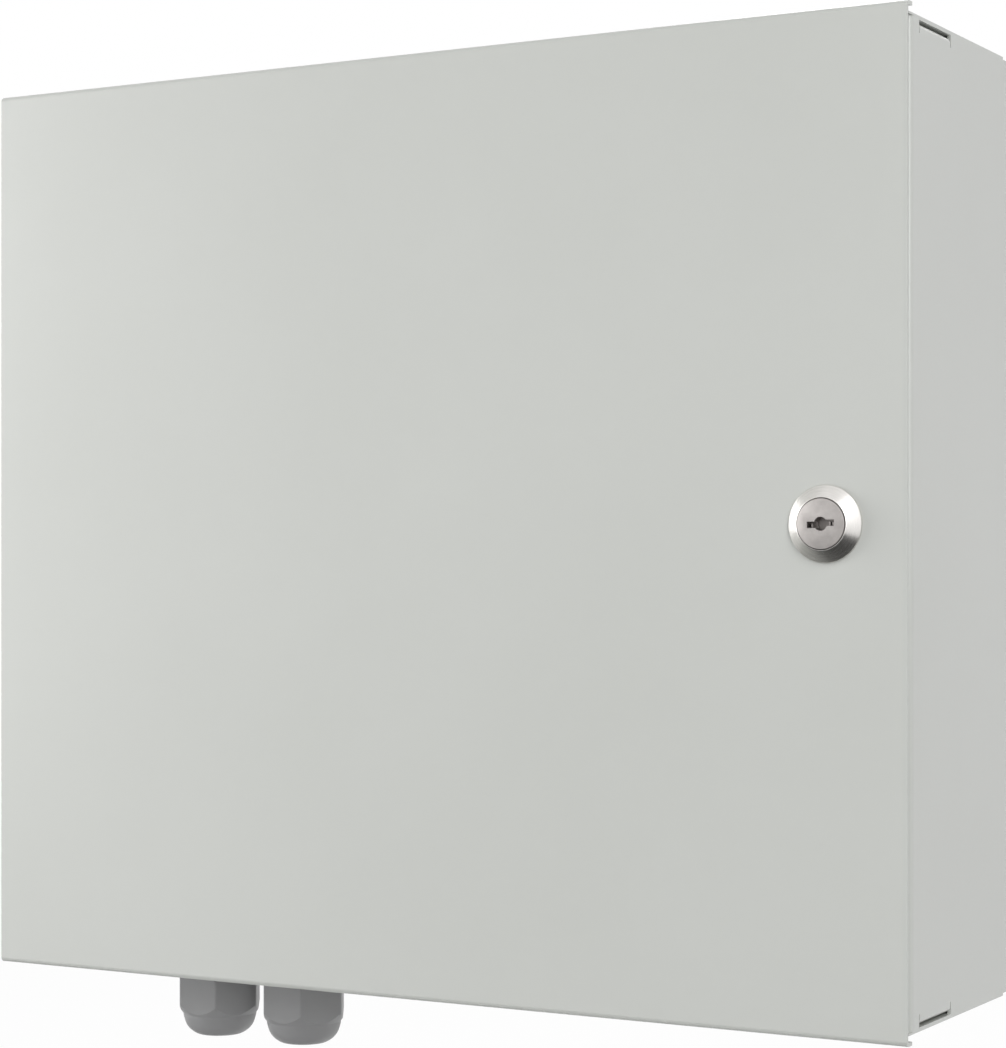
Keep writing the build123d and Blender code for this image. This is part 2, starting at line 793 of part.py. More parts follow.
def patch_adapters():
    """Row of square adapters that stand through the plate, open at both ends."""
    adapters = []
    for index in range(adapter_count):
        x = adapter_x(index)
        half_x = adapter_width / 2
        half_y = adapter_depth / 2
        low_z = adapter_sockets(x, -1)[2]
        high_z = adapter_sockets(x, 1)[2]
        body = block(x - half_x, x + half_x, adapter_y - half_y, adapter_y + half_y, low_z, high_z)
        flange_y = adapter_flange_depth / 2
        body += block(x - half_x, x + half_x, adapter_y - flange_y, adapter_y + flange_y, plate_z, plate_z + adapter_flange_height)
        for end in (1, -1):
            mouth_z = adapter_sockets(x, end)[2]
            body -= block(
                x - socket_width / 2,
                x + socket_width / 2,
                adapter_y - socket_depth / 2,
                adapter_y + socket_depth / 2,
                mouth_z - end * socket_length,
                mouth_z + end,
            )
        adapters += body.solids()
    return Compound(children=adapters)


def dust_caps():
    """Soft cap in each adapter socket."""
    caps = []
    for index in range(adapter_count):
        for end in (1, -1):
            x, y, mouth_z = adapter_sockets(adapter_x(index), end)
            half_x = socket_width / 2 - cap_fit
            half_y = socket_depth / 2 - cap_fit
            stem_z = mouth_z - end * (socket_length - 1)
            cap = block(x - half_x, x + half_x, y - half_y, y + half_y, stem_z, mouth_z)
            half_x += cap_wall
            half_y += cap_wall
            cap += block(x - half_x, x + half_x, y - half_y, y + half_y, mouth_z, mouth_z + end * cap_height)
            caps += cap.solids()
    return Compound(children=caps)


def tie_bracket():
    """Folded bracket over the glands, with slots for cable ties."""
    half = tie_width / 2
    low_z = tie_z - tie_height / 2
    high_z = tie_z + tie_height / 2
    bar_x = half - tie_foot
    bracket = block(gland_centre_x - bar_x, gland_centre_x + bar_x, gland_row_y, gland_row_y + plate_sheet, low_z, high_z)
    for side in (1, -1):
        leg_x = gland_centre_x + side * bar_x
        bracket += block(leg_x - side * plate_sheet, leg_x, gland_row_y, back_wall_y, low_z, high_z)
        foot = block(leg_x - side * plate_sheet, gland_centre_x + side * half, back_wall_y - plate_sheet, back_wall_y, low_z, high_z)
        bracket += foot
    bends = bracket.edges().filter_by(Axis.Z).group_by(Axis.Y)[0]
    bracket = fillet(bends, plate_sheet)
    for index in range(tie_slot_count):
        x = gland_centre_x + (index - (tie_slot_count - 1) / 2) * tie_slot_pitch
        bracket -= block(
            x - tie_slot_width / 2,
            x + tie_slot_width / 2,
            gland_row_y - 1,
            gland_row_y + plate_sheet + 1,
            tie_z - tie_slot_length / 2,
            tie_z + tie_slot_length / 2,
        )
    for x, z in tie_studs:
        hole = stud_diameter + 2 * stud_hole_clearance
        bracket -= level(x, z, back_wall_y - plate_sheet - 1, back_wall_y + 1, hole)
    return bracket


def slack_guides():
    """Open clips on the back wall that keep spare fibre in a loop."""
    low = guide_wall
    outer = RectangleRounded(guide_width, 2 * guide_height, guide_corner)
    above_wall = Pos(0, guide_height / 2) * Rectangle(guide_width, guide_height)
    hollow = Pos(0, guide_height / 2) * Rectangle(guide_width - 2 * low, guide_height - 2 * low)
    mouth = Pos(0, guide_height) * Rectangle(guide_mouth, guide_height)
    clip = extrude((outer & above_wall) - hollow - mouth, guide_length / 2, both=True)
    clips = []
    for x, z in guide_places:
        clips += (Pos(x, back_wall_y, z) * Rot(180, 0, 0) * clip).solids()
    return Compound(children=clips)


def earth_stud():
    """Larger stud for the earth connection, one solid with its nut."""
    stud = level(earth_x, earth_z, back_wall_y - earth_length, back_wall_y, earth_diameter)
    return stud + hex_level(earth_x, earth_z, back_wall_y - earth_nut_height, back_wall_y, earth_nut_flats)


pieces = {
    "housing_body": housing_body(),
    "foam_strips": foam_strips(),
    "door_panel": door_panel(),
    "lock_housing": lock_housing(),
    "lock_plug": lock_plug(),
    "lock_nut": lock_nut(),
    "lock_cam": lock_cam(),
    "cam_screw": cam_screw(),
    "wall_studs": wall_studs(),
    "tray_spacers": tray_spacers(),
    "splice_tray": splice_tray(),
    "splice_holder": splice_holder(),
    "tray_cover": tray_cover(),
    "patch_plate": patch_plate(),
    "patch_adapters": patch_adapters(),
    "dust_caps": dust_caps(),
    "tie_bracket": tie_bracket(),
    "slack_guides": slack_guides(),
    "earth_stud": earth_stud(),
    "hinge_brackets": pair(hinge_bracket),
    "hinge_arms": pair(hinge_arm),
    "gland_bodies": gland_bodies(),
    "gland_inserts": gland_inserts(),
    "gland_dome_nuts": gland_dome_nuts(),
    "gland_lock_nuts": gland_lock_nuts(),
}

os.makedirs("parts", exist_ok=True)
for name, shape in pieces.items():
    export_step(shape, "parts/" + name + ".step")
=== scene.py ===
import json
import math

import bmesh
import bpy
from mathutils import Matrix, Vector


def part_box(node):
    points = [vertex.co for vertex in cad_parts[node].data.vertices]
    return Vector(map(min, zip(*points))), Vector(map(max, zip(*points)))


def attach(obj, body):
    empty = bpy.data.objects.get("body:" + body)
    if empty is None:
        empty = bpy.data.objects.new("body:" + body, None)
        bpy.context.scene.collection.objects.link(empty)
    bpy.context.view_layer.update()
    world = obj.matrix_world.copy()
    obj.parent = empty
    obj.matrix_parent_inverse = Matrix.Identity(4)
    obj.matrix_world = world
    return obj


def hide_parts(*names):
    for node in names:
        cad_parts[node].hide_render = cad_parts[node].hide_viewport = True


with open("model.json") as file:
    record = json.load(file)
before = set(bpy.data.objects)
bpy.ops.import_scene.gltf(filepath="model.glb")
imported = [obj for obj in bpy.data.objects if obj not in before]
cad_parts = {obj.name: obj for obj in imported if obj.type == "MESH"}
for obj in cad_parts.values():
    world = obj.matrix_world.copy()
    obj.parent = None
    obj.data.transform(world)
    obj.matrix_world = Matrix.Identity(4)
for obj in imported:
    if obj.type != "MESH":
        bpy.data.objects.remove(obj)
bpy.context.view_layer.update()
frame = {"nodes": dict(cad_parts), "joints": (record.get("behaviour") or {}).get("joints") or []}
nodes = frame["nodes"]


# Camera: level with the middle of the box, in front of it and to the right,
# with the view shifted up so that the box fills the picture.
camera_place = (0.452, -0.828, -0.0101)
camera_turn = 29.5
camera_lens = 91.9
camera_shift = 0.0324

camera_data = bpy.data.cameras.new("camera")
camera_data.lens = camera_lens
camera_data.shift_y = camera_shift
camera_data.clip_start = 0.01
camera = bpy.data.objects.new("camera", camera_data)
camera.location = camera_place
camera.rotation_euler = (math.radians(90), 0, math.radians(camera_turn))
bpy.context.scene.collection.objects.link(camera)
bpy.context.scene.camera = camera
bpy.context.scene.view_settings.view_transform = "Standard"


# Studio: a pale floor under the box, a white world for the camera, and soft
# lamps on the right, the left and behind. A dark card on the floor, seen only
# in reflections, gives the polished lock its dark lower side.
class Value:
    """A number in a material's nodes, so that a sum written on it adds its Math nodes."""

    def __init__(self, finish, socket):
        self.finish = finish
        self.socket = socket

    def __add__(self, other):
        return self.finish.maths("ADD", self, other)

    def __sub__(self, other):
        return self.finish.maths("SUBTRACT", self, other)

    def __rsub__(self, other):
        return self.finish.maths("SUBTRACT", other, self)

    def __mul__(self, other):
        return self.finish.maths("MULTIPLY", self, other)

    def __gt__(self, other):
        return self.finish.maths("GREATER_THAN", self, other)

    def __lt__(self, other):
        return self.finish.maths("LESS_THAN", self, other)

    __radd__ = __add__
    __rmul__ = __mul__


class Finish:
    """A node tree under way. One method adds any node, with its settings and its inputs."""

    def __init__(self, name, tree=None):
        if tree is None:
            self.material = bpy.data.materials.new(name)
            self.material.use_nodes = True
            tree = self.material.node_tree
        self.tree = tree
        self.tree.nodes.clear()

    def add(self, kind, settings=None, inputs=None):
        node = self.tree.nodes.new(kind)
        for key, setting in (settings or {}).items():
            setattr(node, key, setting)
        for key, value in (inputs or {}).items():
            if isinstance(value, Value):
                self.tree.links.new(value.socket, node.inputs[key])
            elif node.inputs[key].type == "RGBA":
                node.inputs[key].default_value = (*value, 1)
            else:
                node.inputs[key].default_value = value
        return node

    def out(self, kind, settings=None, inputs=None, output=0):
        return Value(self, self.add(kind, settings, inputs).outputs[output])

    def maths(self, operation, *terms):
        return self.out("ShaderNodeMath", {"operation": operation}, dict(enumerate(terms)))

    def place(self, centre=(0, 0, 0), stretch=(1, 1, 1)):
        """Where a point lies from a centre, drawn out or pressed along each axis."""
        here = self.out("ShaderNodeTexCoord", output="Object")
        shift = tuple(-size * start for size, start in zip(stretch, centre))
        moves = {"Vector": here, "Location": shift, "Scale": stretch}
        return self.out("ShaderNodeMapping", inputs=moves)

    def along(self, axis):
        """How far along X, Y or Z a point lies, in metres."""
        here = self.out("ShaderNodeTexCoord", output="Object")
        return self.out("ShaderNodeSeparateXYZ", inputs={"Vector": here}, output=axis)

    def noise(self, scale, detail=2.0, roughness=0.5, place=None):
        inputs = {"Scale": scale, "Detail": detail, "Roughness": roughness}
        inputs["Vector"] = place or self.place()
        return self.out("ShaderNodeTexNoise", inputs=inputs)

    def spread(self, noise, low=0.0, high=1.0):
        """Noise, which lies mostly between 0.3 and 0.7, drawn out between two limits."""
        inputs = {"Value": noise, "From Min": 0.3, "From Max": 0.7, "To Min": low, "To Max": high}
        return self.out("ShaderNodeMapRange", {"clamp": True}, inputs)

    def mix(self, factor, first, second):
        colours = {0: factor, 6: first, 7: second}
        return self.out("ShaderNodeMix", {"data_type": "RGBA"}, colours, output=2)

    def bump(self, height, distance, strength):
        inputs = {"Height": height, "Distance": distance, "Strength": strength}
        return self.out("ShaderNodeBump", inputs=inputs)

    def seen(self):
        """1 for a ray from the camera, off polished metal or through glass, and otherwise 0."""
        rays = self.add("ShaderNodeLightPath").outputs
        camera_ray, glossy_ray, glass_ray = (
            Value(self, rays[name])
            for name in ("Is Camera Ray", "Is Glossy Ray", "Is Transmission Ray")
        )
        return self.maths("MAXIMUM", self.maths("MAXIMUM", camera_ray, glossy_ray), glass_ray)

    def surface(self, **inputs):
        """The shader itself, with words such as Base_Color for its sockets."""
        named = {key.replace("_", " "): value for key, value in inputs.items()}
        shader = self.out("ShaderNodeBsdfPrincipled", inputs=named)
        self.add("ShaderNodeOutputMaterial", inputs={"Surface": shader})
        return self.material


def deselect():
    bpy.ops.object.select_all(action="DESELECT")


floor_level = -0.42
floor_size = 6.0
floor_tone = (0.82, 0.82, 0.82)
floor_shade = (0.79, 0.79, 0.79)
floor_seen_white = 0.97
white_tone = (1, 1, 1)

floor_finish = Finish("studio_floor")
floor_speckle = floor_finish.spread(floor_finish.noise(scale=40.0, detail=4.0))
floor_colour = floor_finish.mix(floor_speckle, floor_shade, floor_tone)
floor_matt = floor_finish.out("ShaderNodeBsdfDiffuse", inputs={"Color": floor_colour})
floor_white = floor_finish.out(
    "ShaderNodeEmission", inputs={"Color": white_tone, "Strength": 1.0}
)
floor_shader = floor_finish.out(
    "ShaderNodeMixShader",
    inputs={0: floor_finish.seen() * floor_seen_white, 1: floor_matt, 2: floor_white},
)
floor_finish.add("ShaderNodeOutputMaterial", inputs={"Surface": floor_shader})

deselect()
bpy.ops.mesh.primitive_plane_add(size=floor_size, location=(0, 0, floor_level))
floor = bpy.context.object
floor.name = "studio_floor"
floor.data.materials.append(floor_finish.material)

world_strength = 0.2

world = bpy.data.worlds.new("studio")
world.use_nodes = True
bpy.context.scene.world = world
sky = Finish("studio", world.node_tree)
sky_strength = world_strength + sky.seen() * (1.0 - world_strength)
sky_light = sky.out(
    "ShaderNodeBackground", inputs={"Color": white_tone, "Strength": sky_strength}
)
sky.add("ShaderNodeOutputWorld", inputs={"Surface": sky_light})

card_low = (-0.7, -0.9)
card_high = (0.9, 0.12)
card_lift = 0.01
card_tone = (0.03, 0.03, 0.03)
card_shade = (0.015, 0.015, 0.015)

card_finish = Finish("studio_flag")
card_weave = card_finish.spread(card_finish.noise(scale=200.0), 0.7, 1.0)
card_finish.surface(
    Base_Color=card_finish.mix(card_weave, card_shade, card_tone),
    Roughness=card_weave,
)

deselect()
card_middle = [(low + high) / 2 for low, high in zip(card_low, card_high)]
bpy.ops.mesh.primitive_plane_add(size=1, location=(*card_middle, floor_level + card_lift))
card = bpy.context.object
card.name = "studio_flag"
card.scale = (card_high[0] - card_low[0], card_high[1] - card_low[1], 1)
card.data.materials.append(card_finish.material)
card.visible_camera = False
card.visible_diffuse = False
card.visible_shadow = False

# name, place, size and power in watts
lamps = (
    ("right_lamp", (1.42, -1.28, 0.88), (0.5, 2.0), 24.5),
    ("left_lamp", (-1.25, -0.62, 0.2), (0.85, 0.85), 13.0),
    ("back_lamp", (-0.2, 1.6, 1.3), (1.2, 1.2), 16.0),
)
for name, lamp_place, lamp_size, power in lamps:
    lamp_data = bpy.data.lights.new(name, "AREA")
    lamp_data.shape = "RECTANGLE"
    lamp_data.size, lamp_data.size_y = lamp_size
    lamp_data.energy = power
    lamp = bpy.data.objects.new(name, lamp_data)
    lamp.location = lamp_place
    lamp.rotation_euler = (-Vector(lamp_place)).to_track_quat("-Z", "Y").to_euler()
    bpy.context.scene.collection.objects.link(lamp)


# Case: one sheet of steel cut, notched and folded, with bent-in flanges and
# corner tabs, then powder-coated light grey inside and out.
MM = 0.001
coat_tone = (0.607, 0.621, 0.592)
coat_shade = (0.586, 0.6, 0.57)
coat_edge = 0.12
bend_angle = 35.0


def powder_coat(name):
    """Satin coat: a fine orange peel, and patches that differ a little in tone."""
    finish = Finish(name)
    patches = finish.spread(finish.noise(scale=9.0, detail=3.0))
    peel = finish.noise(scale=900.0)
    grain = finish.noise(scale=3600.0, detail=1.0)
    return finish.surface(
        Base_Color=finish.mix(patches, coat_shade, coat_tone),
        Roughness=finish.spread(peel, 0.3, 0.36),
        Coat_Weight=0.5,
        Coat_Roughness=0.14,
        Normal=finish.bump(peel * 0.7 + grain * 0.3, distance=0.01 * MM, strength=0.15),
    )


def dress(name, material, edge):
    """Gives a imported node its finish, rounded edges and smooth bends.

    Its loose triangles are joined first, without moving a point of the node itself.
    """
    obj = nodes[name]
    obj.data.materials.clear()
    obj.data.materials.append(material)
    weld = obj.modifiers.new("weld", "WELD")
    weld.merge_threshold = 0.002 * MM
    flat = obj.modifiers.new("flat", "DECIMATE")
    flat.decimate_type = "DISSOLVE"
    flat.angle_limit = math.radians(0.5)
    rounding = obj.modifiers.new("rounding", "BEVEL")
    rounding.width = edge * MM
    rounding.segments = 2
    rounding.limit_method = "ANGLE"
    rounding.angle_limit = math.radians(bend_angle)
    split = obj.modifiers.new("split", "EDGE_SPLIT")
    split.split_angle = math.radians(bend_angle)
    smooth = obj.modifiers.new("smooth", "WEIGHTED_NORMAL")
    smooth.weight = 100
    obj.data.shade_smooth()


dress("housing_body", powder_coat("case_coat"), coat_edge)


# Door: a flat sheet in the same coat, with its top and bottom edges bent
# back over the case. It hangs on two cranked arms inside the left edge.
dress("door_panel", powder_coat("door_coat"), coat_edge)


# Foam seal: four lengths of soft black strip stuck on the case's side
# flanges, with a break at each hinge arm.
def ends(node, axis):
    """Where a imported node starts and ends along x, y or z, in millimetres."""
    return [round(getattr(corner, axis) / MM, 2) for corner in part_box(node)]


foam_outer = ends("foam_strips", "x")[1]
foam_front, foam_back = ends("foam_strips", "y")
foam_end = ends("foam_strips", "z")[1]
foam_width = 7.0
foam_round = 0.9
arm_gap = (100.5, 109.5)
foam_lengths = (
    ("foam_right", 1, -foam_end, foam_end),
    ("foam_left_top", -1, arm_gap[1], foam_end),
    ("foam_left_middle", -1, -arm_gap[0], arm_gap[0]),
    ("foam_left_bottom", -1, -foam_end, -arm_gap[1]),
)
foam_tone = (0.022, 0.022, 0.024)
foam_light = (0.05, 0.05, 0.053)
smooth_angle = 32.0


def pick_edges(obj, test):
    """Selects the edges of a piece in edit mode that pass a test, and nothing else."""
    bpy.context.tool_settings.mesh_select_mode = (False, True, False)
    bpy.ops.mesh.select_all(action="DESELECT")
    mesh = bmesh.from_edit_mesh(obj.data)
    for edge in mesh.edges:
        if test(edge):
            edge.select_set(True)
    mesh.select_flush_mode()
    bmesh.update_edit_mesh(obj.data)


def bar(name, x0, x1, y0, y1, z0, z1):
    """A bar between two corners, in millimetres, with its place in its mesh."""
    deselect()
    centre = ((x0 + x1) / 2 * MM, (y0 + y1) / 2 * MM, (z0 + z1) / 2 * MM)
    bpy.ops.mesh.primitive_cube_add(size=1, location=centre)
    obj = bpy.context.object
    obj.name = name
    obj.scale = (abs(x1 - x0) * MM, abs(y1 - y0) * MM, abs(z1 - z0) * MM)
    bpy.ops.object.transform_apply(location=True, rotation=True, scale=True)
    return obj


def finish_piece(obj, material, body):
    """Smooths a piece, gives it its material and fixes it to its body."""
    deselect()
    obj.select_set(True)
    bpy.context.view_layer.objects.active = obj
    bpy.ops.object.shade_smooth_by_angle(angle=math.radians(smooth_angle))
    obj.data.materials.clear()
    obj.data.materials.append(material)
    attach(obj, body)


foam_finish = Finish("foam")
foam_cells = foam_finish.noise(scale=2600.0, detail=3.0, roughness=0.7)
foam_material = foam_finish.surface(
    Base_Color=foam_finish.mix(foam_finish.spread(foam_cells), foam_tone, foam_light),
    Roughness=foam_finish.spread(foam_cells, 0.8, 0.95),
    Normal=foam_finish.bump(foam_cells, distance=0.25 * MM, strength=0.8),
)
for name, side, low, high in foam_lengths:
    strip = bar(
        name,
        side * (foam_outer - foam_width), side * foam_outer, foam_front, foam_back, low, high,
    )
    bpy.ops.object.mode_set(mode="EDIT")
    face = (foam_front + 0.01) * MM
    pick_edges(strip, lambda edge: all(point.co.y < face for point in edge.verts))
    bpy.ops.mesh.bevel(offset=foam_round * MM, segments=4)
    bpy.ops.object.mode_set(mode="OBJECT")
    finish_piece(strip, foam_material, "case")
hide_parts("foam_strips")


# Lock: a nickel-plated cylinder lock through the door. The body is turned,
# with a cone-shaped bezel, and a thread with two flats behind the door.
lock_joint = next(joint for joint in frame["joints"] if joint["name"] == "lock_turn")
lock_x = round(lock_joint["pos_m"][0] / MM, 2)
door_front = ends("door_panel", "y")[0]
bezel_radius = ends("lock_housing", "z")[1]
bezel_face, barrel_end = ends("lock_housing", "y")
bezel_front = 7.95
bezel_rim = 0.9
bezel_round = 0.12
plug_bore = 7.8
plug_bore_end = door_front + 9.0
shaft_bore = 5.56
barrel_radius = 9.0
barrel_half_flats = 8.0
barrel_round = 0.4
flat_reach = 12.0
lock_thread_start = door_front + 1.5
lock_thread_pitch = 1.0
lathe_share = 0.02
cutter_spare = 1.0
nickel_tone = (0.79, 0.77, 0.745)
nickel_shade = (0.7, 0.68, 0.655)


def turned(name, rings, centre, lying=False, around=96):
    """A ring of points drawn out to each (radius, height) in turn, along Z or, lying, along Y.

    Rings that end where they start close on themselves. Otherwise both ends are filled.
    """
    deselect()
    axis = Vector((0, 1, 0)) if lying else Vector((0, 0, 1))
    middle = Vector(centre)
    bpy.ops.mesh.primitive_circle_add(
        vertices=around,
        radius=rings[0][0] * MM,
        location=(middle + axis * rings[0][1]) * MM,
        rotation=(math.radians(90) if lying else 0, 0, 0),
    )
    obj = bpy.context.object
    obj.name = name
    bpy.ops.object.transform_apply(location=True, rotation=True, scale=True)
    bpy.ops.object.mode_set(mode="EDIT")
    bpy.ops.mesh.select_all(action="SELECT")
    for (radius, height), (next_radius, next_height) in zip(rings, rings[1:]):
        ratio = next_radius / radius
        bpy.ops.mesh.extrude_region_move(
            TRANSFORM_OT_translate={"value": axis * (next_height - height) * MM}
        )
        bpy.ops.transform.resize(
            value=(ratio, 1, ratio) if lying else (ratio, ratio, 1),
            center_override=(middle + axis * next_height) * MM,
        )
    bpy.ops.mesh.select_all(action="SELECT")
    bpy.ops.mesh.remove_doubles(threshold=0.001 * MM)
    bpy.ops.mesh.select_all(action="DESELECT")
    bpy.context.tool_settings.mesh_select_mode = (False, True, False)
    bpy.ops.mesh.select_non_manifold()
    bpy.ops.mesh.fill_holes(sides=0)
    bpy.ops.mesh.select_all(action="SELECT")
    bpy.ops.mesh.normals_make_consistent(inside=False)
    bpy.ops.mesh.select_all(action="DESELECT")
    bpy.ops.object.mode_set(mode="OBJECT")
    return obj


def join_shape(obj, tool, operation="DIFFERENCE"):
    """Cuts one shape with another, or keeps what they share, or adds the other.

    Slivers under a thousandth of a millimetre, where faces all but meet, are then closed up.
    """
    boolean = obj.modifiers.new("shape", "BOOLEAN")
    boolean.operation = operation
    boolean.solver = "EXACT"
    boolean.object = tool
    deselect()
    obj.select_set(True)
    bpy.context.view_layer.objects.active = obj
    bpy.ops.object.modifier_apply(modifier="shape")
    bpy.data.objects.remove(tool)
    bpy.ops.object.mode_set(mode="EDIT")
    bpy.ops.mesh.select_all(action="SELECT")
    bpy.ops.mesh.remove_doubles(threshold=0.001 * MM)
    bpy.ops.mesh.dissolve_degenerate(threshold=0.001 * MM)
    bpy.ops.object.mode_set(mode="OBJECT")


def lathe_marks(finish, scale):
    """How far a point lies from the lock's axis, and the fine rings of the lathe round it."""
    spot = finish.place(centre=(lock_x * MM, 0, 0), stretch=(1, 0, 1))
    reach = finish.out("ShaderNodeVectorMath", {"operation": "LENGTH"}, {0: spot}, output="Value")
    rings = finish.out(
        "ShaderNodeTexNoise", {"noise_dimensions": "1D"}, {"W": reach, "Scale": scale}
    )
    return reach, rings


nickel = Finish("lock_nickel")
nickel_rings = lathe_marks(nickel, scale=9000.0)[1]
nickel_depth = nickel.along("Y")
nickel_thread = nickel_depth > lock_thread_start * MM
nickel_turns = nickel.maths("SINE", nickel_depth * (2 * math.pi / (lock_thread_pitch * MM)))
nickel_lathed = nickel_rings * (1 - nickel_thread) * lathe_share
nickel_height = nickel_lathed + nickel_turns * nickel_thread
nickel_patches = nickel.spread(nickel.noise(scale=160.0, detail=4.0))
nickel_material = nickel.surface(
    Base_Color=nickel.mix(nickel_patches, nickel_shade, nickel_tone),
    Metallic=1.0,
    Roughness=nickel.spread(nickel_rings, 0.24, 0.32),
    Normal=nickel.bump(nickel_height, distance=0.25 * MM, strength=0.5),
)

# radius and place along the lock, from the rim round the face and down the bore
rim_end = door_front - bezel_rim
body_rings = (
    (bezel_radius - bezel_round, door_front),
    (bezel_radius, door_front - bezel_round),
    (bezel_radius, rim_end + 0.15),
    (bezel_radius - 0.05, rim_end + 0.04),
    (bezel_radius - 0.17, rim_end - 0.12),
    (bezel_front + 0.22, bezel_face + 0.2),
    (bezel_front + 0.1, bezel_face + 0.06),
    (bezel_front, bezel_face),
    (plug_bore + 0.06, bezel_face),
    (plug_bore, bezel_face + 0.08),
    (plug_bore, plug_bore_end),
    (shaft_bore, plug_bore_end),
    (shaft_bore, barrel_end),
    (barrel_radius - barrel_round, barrel_end),
    (barrel_radius, barrel_end - barrel_round),
    (barrel_radius, door_front),
    (bezel_radius - bezel_round, door_front),
)
lock_body = turned("lock_bezel", body_rings, (lock_x, 0, 0), lying=True, around=128)
for side in (1, -1):
    flat_cut = bar(
        "flat_cut",
        lock_x - flat_reach, lock_x + flat_reach, door_front, barrel_end + cutter_spare,
        side * barrel_half_flats, side * flat_reach,
    )
    join_shape(lock_body, flat_cut)
finish_piece(lock_body, nickel_material, "door")
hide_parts("lock_housing")


# Key plug: the part that turns. Its face stands a little out of the bezel and
# carries the keyway, with grey wafers inside it, darkened there by painted shade.
plug_face, plug_end = ends("lock_plug", "y")
plug_radius = 7.58
plug_head_end = plug_face + 12.0
plug_round = 0.25
shaft_radius = 5.5
shaft_end = barrel_end + 0.2
square_half = 3.75
key_half_width = 4.3
key_half_slot = 0.95
key_offset = 0.3
key_depth = 3.4
key_bore_radius = 2.1
key_bore_depth = 4.0
wafer_places = (-3.2, 2.5, 3.6)
wafer_thickness = 0.6
wafer_depth = 1.3
wafer_sink = 0.1
wafer_rise = 0.38
wafer_round = 0.12
plug_tone = (0.47, 0.445, 0.43)
plug_shade = (0.4, 0.378, 0.365)
# painted shade: the darker grey given to the keyway's recess and its wafers
keyway_painted_shade = (0.27, 0.25, 0.24)

plug_finish = Finish("plug_nickel")
plug_reach, plug_rings = lathe_marks(plug_finish, scale=5200.0)
plug_patches = plug_finish.spread(plug_finish.noise(scale=420.0, detail=4.0))
plug_metal = plug_finish.mix(plug_patches, plug_shade, plug_tone)
# more than half a millimetre deep in the keyway, the colour turns to the recess's painted shade
plug_deep = plug_finish.along("Y") > (plug_face + 0.5) * MM
keyway_shade_mask = plug_deep * (plug_reach < (key_half_width + 0.3) * MM)
plug_material = plug_finish.surface(
    Base_Color=plug_finish.mix(keyway_shade_mask, plug_metal, keyway_painted_shade),
    Metallic=0.85,
    Roughness=plug_finish.spread(plug_rings, 0.42, 0.52),
    Normal=plug_finish.bump(plug_rings, distance=0.02 * MM, strength=0.5),
)

head_rings = (
    (plug_radius - plug_round, plug_face),
    (plug_radius - 0.07, plug_face + 0.07),
    (plug_radius, plug_face + plug_round),
    (plug_radius, plug_head_end),
    (shaft_radius, plug_head_end),
    (shaft_radius, shaft_end),
)
plug = turned("key_plug", head_rings, (lock_x, 0, 0), lying=True)
for side in (1, -1):
    middle = side * key_offset
    slot_cut = bar(
        "slot_cut",
        lock_x, lock_x + side * key_half_width, plug_face - cutter_spare, plug_face + key_depth,
        middle - key_half_slot, middle + key_half_slot,
    )
    join_shape(plug, slot_cut)
bore_rings = (
    (key_bore_radius, plug_face - cutter_spare),
    (key_bore_radius, plug_face + key_bore_depth),
)
join_shape(plug, turned("bore_cut", bore_rings, (lock_x, 0, 0), lying=True, around=48))
square = bar(
    "square",
    lock_x - square_half, lock_x + square_half, barrel_end, plug_end, -square_half, square_half,
)
join_shape(plug, square, "UNION")
finish_piece(plug, plug_material, "lock")
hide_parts("lock_plug")


def copied(piece, name, shift):
    """A copy of a piece with a mesh of its own, moved by a shift in millimetres."""
    deselect()
    piece.select_set(True)
    bpy.context.view_layer.objects.active = piece
    bpy.ops.object.duplicate(linked=False)
    obj = bpy.context.object
    obj.name = name
    bpy.ops.transform.translate(value=Vector(shift) * MM)
    bpy.ops.object.transform_apply(location=True, rotation=True, scale=True)
    return obj


first_place = wafer_places[0]
first_middle = math.copysign(key_offset, first_place)
first_wafer = bar(
    "key_wafer_0",
    lock_x + first_place - wafer_thickness / 2, lock_x + first_place + wafer_thickness / 2,
    plug_face + wafer_depth, plug_face + key_depth + wafer_sink,
    first_middle - key_half_slot - wafer_sink, first_middle + wafer_rise,
)
bpy.ops.object.mode_set(mode="EDIT")
bpy.ops.mesh.select_all(action="SELECT")
bpy.ops.mesh.bevel(offset=wafer_round * MM, segments=2)
bpy.ops.object.mode_set(mode="OBJECT")
wafers = [first_wafer]
for count, place in enumerate(wafer_places[1:], 1):
    rise = math.copysign(key_offset, place) - first_middle
    shift = (place - first_place, 0, rise)
    wafers.append(copied(first_wafer, "key_wafer_" + str(count), shift))
for wafer in wafers:
    finish_piece(wafer, plug_material, "lock")


# Lock nut, tongue and screw: pressed and cut steel, bright zinc-plated, all
# behind the door. The tongue is bent towards the door and grips the flange.
zinc_tone = (0.66, 0.67, 0.68)
zinc_shade = (0.5, 0.51, 0.53)
zinc_edge = 0.2


def zinc_plate(name, tint=(1, 1, 1), roughness=(0.28, 0.42)):
    """Zinc plate: a cool bright metal, cloudy, with fine drawn lines."""
    finish = Finish(name)
    clouds = finish.spread(finish.noise(scale=120.0, detail=5.0))
    lines = finish.noise(scale=1800.0, place=finish.place(stretch=(1, 1, 0.05)))
    tone, shade = (
        tuple(part * share for part, share in zip(colour, tint))
        for colour in (zinc_tone, zinc_shade)
    )
    return finish.surface(
        Base_Color=finish.mix(clouds, shade, tone),
        Metallic=1.0,
        Roughness=finish.spread(clouds, *roughness),
        Normal=finish.bump(lines, distance=0.01 * MM, strength=0.4),
    )


zinc = zinc_plate("zinc")
for name in ("lock_nut", "lock_cam", "cam_screw"):
    dress(name, zinc, zinc_edge)


# Hinges: zinc-plated sheet arms, cranked round the flange, on brackets with
# riveted pins inside the left wall.
hinge_edge = 0.12

zinc_sheet = zinc_plate("zinc_sheet", tint=(1.0, 0.99, 0.96), roughness=(0.34, 0.48))
for name in ("hinge_brackets", "hinge_arms"):
    dress(name, zinc_sheet, hinge_edge)


